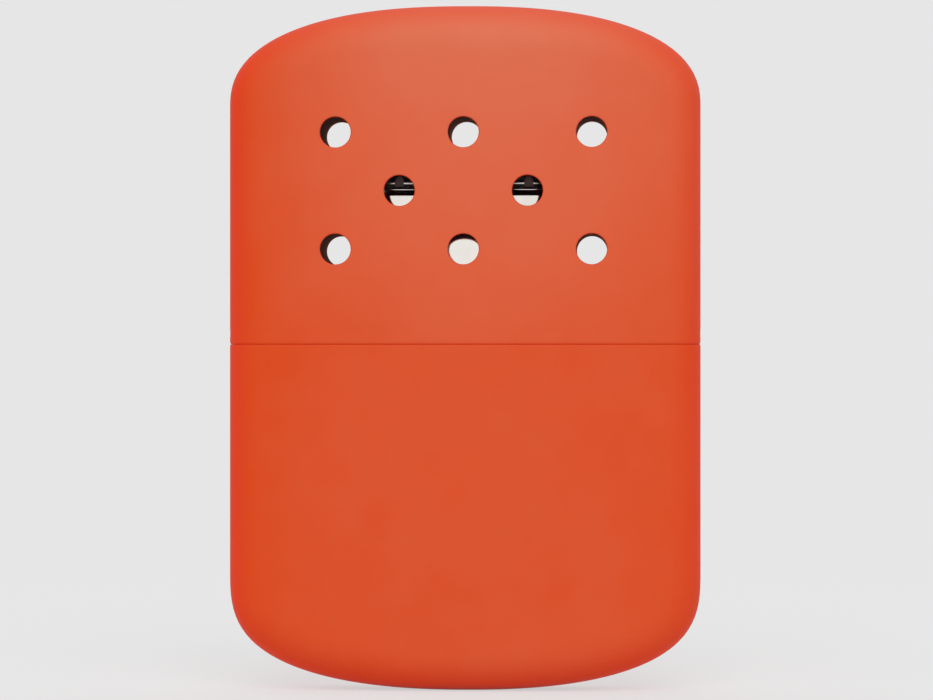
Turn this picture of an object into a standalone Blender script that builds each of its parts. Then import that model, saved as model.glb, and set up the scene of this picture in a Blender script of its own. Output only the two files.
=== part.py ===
"""Catalytic hand warmer: a fuel tank, a vented lid that lifts off and a burner that pulls off.

Frame: metres, +Z up, the way the lid comes off. X runs across the width and Y through the
thickness, with the front at -Y. The origin is under the middle of the rounded bottom.
"""

import math

import bmesh
import bpy
from mathutils import Matrix

# Case: the lid and the tank together
CASE_HEIGHT = 0.0990
CASE_WIDTH = 0.0682
CASE_THICKNESS = 0.0135
CASE_EDGE_RADIUS = 0.0055
CASE_WALL = 0.0006
TOP_CURVE_HEIGHT = 0.0144
BOTTOM_CURVE_HEIGHT = 0.0172
SEAM_HEIGHT = 0.0500

# Vent holes, punched through the front and the back of the lid
VENT_DIAMETER = 0.0045
VENT_COLUMN_PITCH = 0.0184
VENT_ROW_PITCH = 0.0084

# Closure cup: the sleeve in the tank's mouth, with its flat shoulder
CUP_WALL = 0.0005
CUP_SHOULDER_RADIUS = 0.0015
CUP_RISE = 0.0086
CUP_SEAT_DEPTH = 0.0080

# Filler neck and the wick felt in it
NECK_WALL = 0.0005
NECK_RISE = 0.0074
NECK_FLANGE_WIDTH = 0.0012
NECK_FLANGE_THICKNESS = 0.0005
FELT_DEPTH = 0.0045
FELT_EDGE_RADIUS = 0.0006

# Burner: skirt, support screen, catalyst mat and cage
BURNER_LENGTH = 0.0291
BURNER_WIDTH = 0.0090
SKIRT_HEIGHT = 0.0135
SKIRT_WALL = 0.0005
SKIRT_EDGE_RADIUS = 0.0008
SKIRT_LIP_WIDTH = 0.0009
SCREEN_THICKNESS = 0.0004
SCREEN_HOLE_DIAMETER = 0.0012
SCREEN_HOLE_PITCH = 0.0024
MAT_EDGE_RADIUS = 0.0008
CAGE_INSET = 0.0004
CAGE_HEIGHT = 0.0048
CAGE_WALL = 0.0004
CAGE_EDGE_RADIUS = 0.0007
CAGE_RING_RISE = 0.00040
CAGE_RING_WIDTH = 0.00025
CAGE_RIM_WIDTH = 0.0010
CAGE_POST_PLACE = 0.0094
CAGE_POST_WIDTH = 0.0015
CAP_SLOT_WIDTH = 0.0044
CAP_BRIDGE_WIDTH = 0.0012

# Gaps: a seam between seated pieces, a sliding fit, and how far a cutter overruns its piece
SEAT_GAP = 0.0003
FIT_CLEARANCE = 0.0003
CUT_OVERRUN = 0.0010
WELD_DISTANCE = 0.000001

# Powers of the super-ellipse curves, across and down, that match the photographed outline
TOP_POWERS = (2.376, 2.363)
BOTTOM_POWERS = (2.316, 3.037)

# Height of the middle row of vent holes over the seam, as a share of the lid's height
VENT_MIDDLE_SHARE = 0.451

# Edges that turn by more than this, in degrees, stay sharp in the shading
SHARP_ANGLE = 35

# Counts
VENT_ROWS = 3
VENT_COLUMNS = 3
TANK_WADS = 4
SCREEN_ROWS = 2
SCREEN_COLUMNS = 9
CROWN_STEPS = 14
EDGE_STEPS = 6
END_STEPS = 12
VENT_SIDES = 24
SCREEN_HOLE_SIDES = 8

# Heights and sizes that follow
LID_BOTTOM = SEAM_HEIGHT + SEAT_GAP / 2
TANK_TOP = SEAM_HEIGHT - SEAT_GAP / 2
CUP_BOTTOM = SEAM_HEIGHT - CUP_SEAT_DEPTH
CUP_TOP = SEAM_HEIGHT + CUP_RISE
FLANGE_TOP = CUP_TOP - CUP_WALL - SEAT_GAP
FLANGE_BOTTOM = FLANGE_TOP - NECK_FLANGE_THICKNESS
NECK_TOP = CUP_TOP + NECK_RISE
SKIRT_BOTTOM = CUP_TOP + SEAT_GAP
SKIRT_TOP = SKIRT_BOTTOM + SKIRT_HEIGHT
SCREEN_TOP = SKIRT_TOP - SKIRT_WALL - SEAT_GAP
MAT_BOTTOM = SCREEN_TOP + SEAT_GAP
CAGE_BOTTOM = SKIRT_TOP + SEAT_GAP
CAGE_TOP = CAGE_BOTTOM + CAGE_HEIGHT
MAT_TOP = CAGE_TOP - CAGE_WALL - SEAT_GAP
CUP_INSET = CASE_WALL + FIT_CLEARANCE
NECK_INSET = SKIRT_WALL + FIT_CLEARANCE
LIP_INSET = SKIRT_WALL + SKIRT_LIP_WIDTH


def clear_scene():
    """Remove whatever objects the scene starts with."""
    for old_object in list(bpy.data.objects):
        bpy.data.objects.remove(old_object, do_unlink=True)


def new_collection(name):
    """Collection of that name, linked to the scene."""
    collection = bpy.data.collections.new(name)
    bpy.context.scene.collection.children.link(collection)
    return collection


def crown_quarter(half_width, height, powers):
    """Super-ellipse quarter from its apex (0, height) to its side (half_width, 0)."""
    across_power, down_power = powers
    quarter = []
    for step in range(CROWN_STEPS + 1):
        turn = math.pi / 2 * step / CROWN_STEPS
        across = math.sin(turn) ** (2 / across_power)
        up = abs(math.cos(turn)) ** (2 / down_power)
        quarter.append((half_width * across, height * up))
    return quarter


def case_outline():
    """Front outline of the closed case, clockwise from the top of its crown."""
    crown = crown_quarter(CASE_WIDTH / 2, TOP_CURVE_HEIGHT, TOP_POWERS)
    bowl = crown_quarter(CASE_WIDTH / 2, BOTTOM_CURVE_HEIGHT, BOTTOM_POWERS)
    right = [(x, CASE_HEIGHT - TOP_CURVE_HEIGHT + z) for x, z in crown]
    right += [(x, BOTTOM_CURVE_HEIGHT - z) for x, z in reversed(bowl)]
    left = [(-x, z) for x, z in reversed(right[1:-1])]
    return right + left


def case_section(inset):
    """Level section of the case, drawn in by the inset: a rectangle with arc corners."""
    radius = CASE_EDGE_RADIUS - inset
    along = CASE_WIDTH / 2 - CASE_EDGE_RADIUS
    aside = CASE_THICKNESS / 2 - CASE_EDGE_RADIUS
    points = []
    for corner, (x_side, y_side) in enumerate(((1, 1), (-1, 1), (-1, -1), (1, -1))):
        for step in range(EDGE_STEPS + 1):
            turn = math.pi / 2 * (corner + step / EDGE_STEPS)
            x = x_side * along + radius * math.cos(turn)
            y = y_side * aside + radius * math.sin(turn)
            points.append((x, y))
    return points


def burner_section(inset):
    """Level section of the burner, drawn in by the inset: straight sides and round ends."""
    radius = BURNER_WIDTH / 2 - inset
    along = BURNER_LENGTH / 2 - BURNER_WIDTH / 2
    points = []
    for end, side in enumerate((1, -1)):
        for step in range(END_STEPS + 1):
            turn = math.pi * (end - 1 / 2 + step / END_STEPS)
            points.append((side * along + radius * math.cos(turn), radius * math.sin(turn)))
    return points


def outline_curve(name, outline, depth, edge_radius, inset):
    """Filled flat curve with a depth; its rims are rounded, and the inset draws it all in."""
    curve = bpy.data.curves.new(name, "CURVE")
    curve.dimensions = "2D"
    curve.fill_mode = "BOTH"
    curve.extrude = depth / 2 - edge_radius
    curve.offset = -edge_radius
    curve.bevel_depth = edge_radius - inset
    curve.bevel_resolution = EDGE_STEPS - 1
    spline = curve.splines.new("POLY")
    spline.points.add(len(outline) - 1)
    for point, (x, y) in zip(spline.points, outline):
        point.co = (x, y, 0, 1)
    spline.use_cyclic_u = True
    return bpy.data.objects.new(name, curve)


def mesh_from_curve(curve_object, collection):
    """Welded mesh object with the curve's shape, its place in the mesh; the curve is removed."""
    collection.objects.link(curve_object)
    bpy.context.view_layer.update()
    evaluated = curve_object.evaluated_get(bpy.context.evaluated_depsgraph_get())
    mesh = bpy.data.meshes.new_from_object(evaluated)
    mesh.transform(curve_object.matrix_world)
    name = curve_object.name
    bpy.data.objects.remove(curve_object)
    work = bmesh.new()
    work.from_mesh(mesh)
    bmesh.ops.remove_doubles(work, verts=work.verts, dist=WELD_DISTANCE)
    bmesh.ops.recalc_face_normals(work, faces=work.faces)
    work.to_mesh(mesh)
    work.free()
    solid = bpy.data.objects.new(name, mesh)
    collection.objects.link(solid)
    return solid


def case_solid(name, collection, inset=0.0):
    """Solid of the whole closed case, drawn in by the inset."""
    curve_object = outline_curve(name, case_outline(), CASE_THICKNESS, CASE_EDGE_RADIUS, inset)
    curve_object.rotation_euler.x = math.pi / 2
    return mesh_from_curve(curve_object, collection)


def upright_solid(name, collection, section, bottom, top, edge_radius=0.0):
    """Solid of a level section between two heights, its rims rounded to the edge radius."""
    curve_object = outline_curve(name, section, top - bottom, edge_radius, 0.0)
    curve_object.location.z = (bottom + top) / 2
    return mesh_from_curve(curve_object, collection)


def cut_level(solid, height, keep, closed=False):
    """Cut the mesh level at a height and keep what is above (1) or below (-1) it."""
    work = bmesh.new()
    work.from_mesh(solid.data)
    cut = bmesh.ops.bisect_plane(
        work,
        geom=work.verts[:] + work.edges[:] + work.faces[:],
        plane_co=(0, 0, height),
        plane_no=(0, 0, keep),
        clear_inner=True,
    )
    if closed:
        rim = [item for item in cut["geom_cut"] if isinstance(item, bmesh.types.BMEdge)]
        bmesh.ops.edgeloop_fill(work, edges=rim)
        bmesh.ops.recalc_face_normals(work, faces=work.faces)
    work.to_mesh(solid.data)
    work.free()


def add_wall(surface, wall):
    """Give an open surface its wall, inwards."""
    solidify = surface.modifiers.new("wall", "SOLIDIFY")
    solidify.thickness = wall
    solidify.offset = -1
    solidify.use_even_offset = True


def combine(solid, tool, operation):
    """Cut the tool out of the solid, or join it on."""
    tool.hide_render = True
    tool.display_type = "WIRE"
    modifier = solid.modifiers.new(tool.name, "BOOLEAN")
    modifier.operation = operation
    modifier.object = tool


def tool_from_bmesh(name, work, tools):
    """Tool object from a finished bmesh."""
    mesh = bpy.data.meshes.new(name)
    work.to_mesh(mesh)
    work.free()
    tool = bpy.data.objects.new(name, mesh)
    tools.objects.link(tool)
    return tool


def box_tool(name, boxes, tools):
    """Tool of separate boxes, each given by its lowest and highest corner."""
    work = bmesh.new()
    for low, high in boxes:
        middle = [(a + b) / 2 for a, b in zip(low, high)]
        sides = [b - a for a, b in zip(low, high)]
        place = Matrix.Translation(middle) @ Matrix.Diagonal((*sides, 1))
        bmesh.ops.create_cube(work, size=1, matrix=place)
    return tool_from_bmesh(name, work, tools)


def drill_tool(name, places, turn, diameter, depth, sides, tools):
    """Tool of separate round drills at the places, all turned alike."""
    work = bmesh.new()
    for place in places:
        bmesh.ops.create_cone(
            work,
            cap_ends=True,
            segments=sides,
            radius1=diameter / 2,
            radius2=diameter / 2,
            depth=depth,
            matrix=Matrix.Translation(place) @ turn,
        )
    return tool_from_bmesh(name, work, tools)


def vent_places():
    """Vent hole centres: rows of three, two and three, the middle row between the columns."""
    places = []
    middle = SEAM_HEIGHT + VENT_MIDDLE_SHARE * (CASE_HEIGHT - SEAM_HEIGHT)
    for row in range(VENT_ROWS):
        columns = VENT_COLUMNS - row % 2
        z = middle + ((VENT_ROWS - 1) / 2 - row) * VENT_ROW_PITCH
        for column in range(columns):
            places.append(((column - (columns - 1) / 2) * VENT_COLUMN_PITCH, 0, z))
    return places


def make_tank_shell(parts):
    """Lower half of the case, open at the seam."""
    shell = case_solid("tank_shell", parts)
    cut_level(shell, TANK_TOP, -1)
    add_wall(shell, CASE_WALL)
    return shell


def make_lid_shell(parts, tools):
    """Upper half of the case, open at the seam, with the vent holes in both faces."""
    shell = case_solid("lid_shell", parts)
    cut_level(shell, LID_BOTTOM, 1)
    add_wall(shell, CASE_WALL)
    depth = CASE_THICKNESS + 2 * CUT_OVERRUN
    level = Matrix.Rotation(math.pi / 2, 4, "X")
    drills = drill_tool("vent_drills", vent_places(), level, VENT_DIAMETER, depth, VENT_SIDES, tools)
    combine(shell, drills, "DIFFERENCE")
    return shell


def make_closure_cup(parts, tools):
    """Sleeve with a flat shoulder, open below, with the hole for the filler neck."""
    below = CUP_BOTTOM - 2 * CUP_SHOULDER_RADIUS
    section = case_section(CUP_INSET)
    cup = upright_solid("closure_cup", parts, section, below, CUP_TOP, CUP_SHOULDER_RADIUS)
    cut_level(cup, CUP_BOTTOM, 1)
    add_wall(cup, CUP_WALL)
    hole = burner_section(NECK_INSET - FIT_CLEARANCE)
    bottom = CUP_TOP - CUP_WALL - CUT_OVERRUN
    cutter = upright_solid("shoulder_hole", tools, hole, bottom, CUP_TOP + CUT_OVERRUN)
    combine(cup, cutter, "DIFFERENCE")
    return cup


def make_filler_neck(parts, tools):
    """Oblong ferrule through the shoulder, with its flange under it."""
    flange = burner_section(NECK_INSET - NECK_FLANGE_WIDTH)
    neck = upright_solid("filler_neck", parts, flange, FLANGE_BOTTOM, FLANGE_TOP)
    root = (FLANGE_BOTTOM + FLANGE_TOP) / 2
    tube = upright_solid("neck_tube", tools, burner_section(NECK_INSET), root, NECK_TOP)
    combine(neck, tube, "UNION")
    bore = burner_section(NECK_INSET + NECK_WALL)
    bottom = FLANGE_BOTTOM - CUT_OVERRUN
    cutter = upright_solid("neck_bore", tools, bore, bottom, NECK_TOP + CUT_OVERRUN)
    combine(neck, cutter, "DIFFERENCE")
    return neck


def make_neck_felt(parts):
    """Wick pad in the neck, down to the cotton."""
    section = burner_section(NECK_INSET + NECK_WALL + SEAT_GAP)
    top = NECK_TOP - FELT_DEPTH
    return upright_solid("neck_felt", parts, section, FLANGE_BOTTOM, top, FELT_EDGE_RADIUS)


def make_tank_wads(parts):
    """Cotton portions that fill the tank below the closure cup, one above the other."""
    inset = CASE_WALL + SEAT_GAP
    pitch = (CUP_BOTTOM - inset) / TANK_WADS
    wads = []
    for number in range(TANK_WADS):
        wad = case_solid(f"cotton_wad_{number + 1}", parts, inset)
        low = inset + number * pitch
        cut_level(wad, low + pitch - SEAT_GAP, -1, closed=True)
        if number > 0:
            cut_level(wad, low, 1, closed=True)
        wads.append(wad)
    return wads


def make_cup_wad(parts):
    """Cotton portion inside the closure cup, under the neck."""
    section = case_section(CUP_INSET + CUP_WALL + SEAT_GAP)
    top = FLANGE_BOTTOM - SEAT_GAP
    name = f"cotton_wad_{TANK_WADS + 1}"
    return upright_solid(name, parts, section, CUP_BOTTOM, top, CUP_SHOULDER_RADIUS)


def make_burner_skirt(parts, tools):
    """Band that slips over the neck, its top edge turned in to a lip."""
    below = SKIRT_BOTTOM - 2 * SKIRT_EDGE_RADIUS
    section = burner_section(0.0)
    skirt = upright_solid("burner_skirt", parts, section, below, SKIRT_TOP, SKIRT_EDGE_RADIUS)
    cut_level(skirt, SKIRT_BOTTOM, 1)
    add_wall(skirt, SKIRT_WALL)
    window = burner_section(LIP_INSET)
    bottom = SKIRT_TOP - SKIRT_WALL - CUT_OVERRUN
    cutter = upright_solid("lip_window", tools, window, bottom, SKIRT_TOP + CUT_OVERRUN)
    combine(skirt, cutter, "DIFFERENCE")
    return skirt


def make_support_screen(parts, tools):
    """Perforated plate under the skirt's lip that carries the catalyst mat."""
    section = burner_section(SKIRT_WALL + SEAT_GAP)
    bottom = SCREEN_TOP - SCREEN_THICKNESS
    screen = upright_solid("support_screen", parts, section, bottom, SCREEN_TOP)
    middle = (bottom + SCREEN_TOP) / 2
    places = []
    for row in range(SCREEN_ROWS):
        for column in range(SCREEN_COLUMNS):
            x = (column - (SCREEN_COLUMNS - 1) / 2) * SCREEN_HOLE_PITCH
            y = (row - (SCREEN_ROWS - 1) / 2) * SCREEN_HOLE_PITCH
            places.append((x, y, middle))
    depth = SCREEN_THICKNESS + 2 * CUT_OVERRUN
    upright = Matrix.Identity(4)
    name = "screen_drills"
    drills = drill_tool(name, places, upright, SCREEN_HOLE_DIAMETER, depth, SCREEN_HOLE_SIDES, tools)
    combine(screen, drills, "DIFFERENCE")
    return screen


def make_catalyst_mat(parts):
    """Fibre pad that stands on the screen, through the lip and into the cage."""
    section = burner_section(LIP_INSET + SEAT_GAP)
    return upright_solid("catalyst_mat", parts, section, MAT_BOTTOM, MAT_TOP, MAT_EDGE_RADIUS)


def cage_openings():
    """Boxes that open the cage: windows under and over its ring, and two slots in its cap."""
    ring_low = CAGE_BOTTOM + CAGE_RING_RISE
    levels = (
        (CAGE_BOTTOM - CUT_OVERRUN, ring_low),
        (ring_low + CAGE_RING_WIDTH, CAGE_TOP - CAGE_RIM_WIDTH),
    )
    inner = CAGE_POST_PLACE - CAGE_POST_WIDTH / 2
    outer = CAGE_POST_PLACE + CAGE_POST_WIDTH / 2
    post_side = CAGE_POST_WIDTH / 2
    x_far = BURNER_LENGTH / 2 + CUT_OVERRUN
    y_far = BURNER_WIDTH / 2 + CUT_OVERRUN
    boxes = []
    for low, high in levels:
        boxes.append(((-inner, -y_far, low), (inner, y_far, high)))
        for x_low, x_high in ((-x_far, -outer), (outer, x_far)):
            boxes.append(((x_low, -y_far, low), (x_high, -post_side, high)))
            boxes.append(((x_low, post_side, low), (x_high, y_far, high)))
    half_slot = CAP_SLOT_WIDTH / 2
    half_bridge = CAP_BRIDGE_WIDTH / 2
    slot_low = CAGE_TOP - CAGE_WALL - SEAT_GAP
    slot_high = CAGE_TOP + CUT_OVERRUN
    for x_low, x_high in ((-CAGE_POST_PLACE, -half_bridge), (half_bridge, CAGE_POST_PLACE)):
        boxes.append(((x_low, -half_slot, slot_low), (x_high, half_slot, slot_high)))
    return boxes


def make_burner_cage(parts, tools):
    """Slotted frame round and over the catalyst mat, seated on the skirt's lip."""
    below = CAGE_BOTTOM - 2 * CAGE_EDGE_RADIUS
    section = burner_section(CAGE_INSET)
    cage = upright_solid("burner_cage", parts, section, below, CAGE_TOP, CAGE_EDGE_RADIUS)
    cut_level(cage, CAGE_BOTTOM, 1)
    add_wall(cage, CAGE_WALL)
    combine(cage, box_tool("cage_openings", cage_openings(), tools), "DIFFERENCE")
    return cage


def material(name, red, green, blue, metallic, roughness):
    """Principled material from a linear colour."""
    made = bpy.data.materials.new(name)
    made.use_nodes = True
    shader = made.node_tree.nodes["Principled BSDF"]
    shader.inputs["Base Color"].default_value = (red, green, blue, 1)
    shader.inputs["Metallic"].default_value = metallic
    shader.inputs["Roughness"].default_value = roughness
    made.diffuse_color = (red, green, blue, 1)
    return made


def finish(piece, piece_material, body):
    """Shade the piece smooth, give it its material and hang it on its body's empty."""
    piece.data.materials.clear()
    piece.data.materials.append(piece_material)
    piece.data.shade_smooth()
    piece.data.set_sharp_from_angle(angle=math.radians(SHARP_ANGLE))
    piece.parent = body
    piece.matrix_parent_inverse = Matrix.Translation(-body.location)


def body_empty(name, height, parts):
    """Empty on the slide axis, at the height where the body seats."""
    empty = bpy.data.objects.new(name, None)
    empty.location.z = height
    parts.objects.link(empty)
    return empty


def main():
    """Model the hand warmer."""
    clear_scene()
    parts = new_collection("hand_warmer")
    tools = new_collection("cutters")
    tank = body_empty("tank_body", 0.0, parts)
    lid = body_empty("lid_body", SEAM_HEIGHT, parts)
    burner = body_empty("burner_body", CUP_TOP, parts)

    paint = material("case_paint", 0.70, 0.09, 0.03, 0.0, 0.45)
    bright = material("bright_plate", 0.80, 0.80, 0.82, 1.0, 0.15)
    steel = material("burner_steel", 0.62, 0.62, 0.64, 1.0, 0.30)
    fibre = material("catalyst_fibre", 0.10, 0.10, 0.11, 0.0, 0.95)
    cotton = material("cotton", 0.85, 0.84, 0.80, 0.0, 0.95)
    felt = material("felt", 0.70, 0.68, 0.62, 0.0, 0.95)

    finish(make_tank_shell(parts), paint, tank)
    finish(make_closure_cup(parts, tools), bright, tank)
    finish(make_filler_neck(parts, tools), bright, tank)
    finish(make_neck_felt(parts), felt, tank)
    for wad in make_tank_wads(parts):
        finish(wad, cotton, tank)
    finish(make_cup_wad(parts), cotton, tank)
    finish(make_lid_shell(parts, tools), paint, lid)
    finish(make_burner_skirt(parts, tools), bright, burner)
    finish(make_support_screen(parts, tools), steel, burner)
    finish(make_catalyst_mat(parts), fibre, burner)
    finish(make_burner_cage(parts, tools), steel, burner)


main()
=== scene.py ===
"""Looks of the catalytic hand warmer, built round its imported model.

Metres, +Z up, front at -Y. The painted case is modelled as sheet metal with its real wall, and so
are the plated cup and neck and the burner; the fibre pieces inside are soft solids.
"""

import math

import bmesh
import bpy
import numpy as np
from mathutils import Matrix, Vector


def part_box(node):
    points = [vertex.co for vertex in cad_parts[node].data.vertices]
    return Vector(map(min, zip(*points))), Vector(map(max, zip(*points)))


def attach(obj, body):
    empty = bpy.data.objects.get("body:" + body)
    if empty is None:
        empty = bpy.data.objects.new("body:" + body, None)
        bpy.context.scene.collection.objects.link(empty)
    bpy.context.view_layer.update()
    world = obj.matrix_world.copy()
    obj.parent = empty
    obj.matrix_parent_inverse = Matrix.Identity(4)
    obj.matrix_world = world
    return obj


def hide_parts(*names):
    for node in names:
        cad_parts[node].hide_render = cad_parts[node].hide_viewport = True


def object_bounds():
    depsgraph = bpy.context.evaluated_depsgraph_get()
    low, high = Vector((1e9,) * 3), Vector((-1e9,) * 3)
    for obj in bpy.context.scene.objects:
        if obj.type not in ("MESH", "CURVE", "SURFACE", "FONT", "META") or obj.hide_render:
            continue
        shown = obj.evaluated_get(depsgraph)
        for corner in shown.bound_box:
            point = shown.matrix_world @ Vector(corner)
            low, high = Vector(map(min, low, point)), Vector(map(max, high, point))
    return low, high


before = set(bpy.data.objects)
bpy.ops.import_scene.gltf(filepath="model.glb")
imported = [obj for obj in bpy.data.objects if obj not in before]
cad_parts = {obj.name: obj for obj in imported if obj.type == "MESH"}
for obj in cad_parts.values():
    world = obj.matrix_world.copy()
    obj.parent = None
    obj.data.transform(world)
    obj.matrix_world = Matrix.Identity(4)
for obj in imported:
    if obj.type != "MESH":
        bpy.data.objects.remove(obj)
cad_low, cad_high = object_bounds()

# Places taken from the CAD parts
lid_low, lid_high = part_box("lid_shell")
tank_low, tank_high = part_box("tank_shell")
cup_low, cup_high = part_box("closure_cup")
neck_low, neck_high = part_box("filler_neck")
skirt_low, skirt_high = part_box("burner_skirt")
cage_low, cage_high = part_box("burner_cage")
mat_low, mat_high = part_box("catalyst_mat")
HALF_WIDTH = lid_high.x
HALF_DEPTH = lid_high.y
SEAM_GAP = lid_low.z - tank_high.z
SEAM_HEIGHT = (lid_low.z + tank_high.z) / 2

# Case, as in the CAD source
EDGE_RADIUS = 0.0055
CASE_WALL = 0.0006
CROWN_HEIGHT = 0.0144
BOWL_HEIGHT = 0.0172
CROWN_POWERS = (2.376, 2.363)
BOWL_POWERS = (2.316, 3.037)
VENT_RADIUS = 0.00221
VENT_COLUMN_PITCH = 0.0184
VENT_ROW_PITCH = 0.0084
VENT_MIDDLE_SHARE = 0.451
VENT_TOP_ROW = SEAM_HEIGHT + VENT_MIDDLE_SHARE * (lid_high.z - SEAM_HEIGHT) + VENT_ROW_PITCH

# Case, finer than the CAD source: rims are (inset, height), insets go in from the outside face
VENT_LIP = 0.00019
VENT_BURR = 0.00005
SEAM_BAND = 0.0050
LID_RIM = (0.00022, 0.00058)
TANK_RIM = (0.00016, 0.00018)
RIM_BURR = 0.00006
RIM_SWAGE = 0.00003
SWAGE_PLACES = (0.0030, 0.0022, 0.0016, 0.0012, 0.0008)
SEAM_CREVICE = 0.00001
TANK_LIP_RISE = 0.00040
TANK_LIP_INSETS = (0.00064, 0.00084)
PAINT_REACH = 0.0012
TANK_BLOCK_HALF = 0.022
TANK_BLOCK_TOP = 0.040
TANK_BLOCK_BOTTOM = 0.013

# Cup, neck and burner, as in the CAD source
CUP_WALL = 0.0005
CUP_SHOULDER_RADIUS = 0.0015
NECK_WALL = 0.0005
NECK_FLANGE_THICKNESS = 0.0005
FIT_CLEARANCE = 0.0003
SKIRT_WALL = 0.0005
SKIRT_LIP_WIDTH = 0.0009

# Cup, neck, burner and mat, finer than the CAD source
CUP_EDGE_BREAK = 0.0001
CUP_SIDE_ROW = 0.0040
NECK_FILLET = 0.0002
NECK_SIDE_ROW = 0.0030
SKIRT_WAIST = 0.0003
WAIST_HEIGHT = skirt_low.z + 0.0077
WAIST_REACH = 0.0014
SHOULDER_DROP = 0.0010
SHOULDER_LEAN = 35
SHOULDER_ROUND = 0.00006
BEAD_RISE = 0.00012
BEAD_ROUND = 0.00006
CAGE_WALL = 0.0004
CAGE_EDGE_RADIUS = 0.0007
CAGE_RING_RISE = 0.00040
CAGE_RING_WIDTH = 0.00025
CAGE_RIM_WIDTH = 0.0010
CAGE_POST_INNER = 0.00865
CAGE_SLOT_END = 0.0094
CAGE_SLOT_HALF = 0.0022
CAGE_BRIDGE_HALF = 0.0006
CAGE_END_POST_HALF = 0.00075
CAGE_EDGE_BREAK = 0.00004
CAGE_CAP_ROWS = (0.0006, 0.0011)
MAT_EDGE_RADIUS = 0.0009
MAT_RUFFLE = (0.00012, 900.0)
COTTON_VOXEL, COTTON_RUFFLE = 0.0006, (0.0005, 500.0)
FELT_VOXEL, FELT_RUFFLE = 0.0003, (0.0001, 500.0)

# Painted sheen on the coat, paler towards the crown and, across the case, towards the middle:
# height from the seam as a share of the case's, and the amount there
SHEEN_STOPS = ((-0.503, 0.20), (0.0, 0.17), (0.004, 0.28), (0.42, 0.76), (0.46, 1.00), (0.49, 1.00))
SHEEN_CENTRE = 0.005
SHEEN_HALF_WIDTH = 0.038

# How much a face turned to each side counts in the painted shading of the turned edges
LEFT_SHADE_SHARE = 1.25
RIGHT_SHADE_SHARE = 0.7
DOWN_SHADE_SHARE = 0.9
UP_SHADE_SHARE = 0.66

# Mesh counts
EDGE_STEPS = 14
SIDE_STEPS = 36
TOP_STEPS = 72
CELL_STEPS = 12
LOFT_STEPS = 5
BLEND_STEPS = 7
BLEND_POWER = 1.6
MERGE_DISTANCE = 0.000002
SHARP_ANGLE = 40

# Stage
FLOOR_HALF = 4.0
SHADOW_REACH = (0.05, 0.30)
SHADOW_SHARE = 0.30

# Photograph: the frame's width, pixels to a metre, and the place that its middle looks at
PHOTO_WIDTH = 933
PHOTO_SCALE = 6885.0
CAMERA_DISTANCE = 0.520
CAMERA_AZIMUTH = 2.3
CAMERA_ELEVATION = 0.0
CAMERA_AIM = (0.0002, 0.0, 0.0492)
SENSOR_WIDTH = 36.0


def linear(hex_colour):
    """Linear RGBA from an sRGB hex value."""
    parts = [int(hex_colour[i : i + 2], 16) / 255 for i in (1, 3, 5)]
    return [p / 12.92 if p <= 0.04045 else ((p + 0.055) / 1.055) ** 2.4 for p in parts] + [1.0]


def add(tree, kind, inputs=None, **settings):
    """Add a shader node with its settings; an input is a value or the socket to link it to."""
    made = tree.nodes.new(kind)
    for name, value in settings.items():
        setattr(made, name, value)
    for name, value in (inputs or {}).items():
        if isinstance(value, bpy.types.NodeSocket):
            tree.links.new(value, made.inputs[name])
        else:
            made.inputs[name].default_value = value
    return made


def new_material(name):
    """Empty node material: (material, tree, surface socket)."""
    made = bpy.data.materials.new(name)
    made.use_nodes = True
    tree = made.node_tree
    tree.nodes.clear()
    output = tree.nodes.new("ShaderNodeOutputMaterial")
    return made, tree, output.inputs["Surface"]


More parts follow.
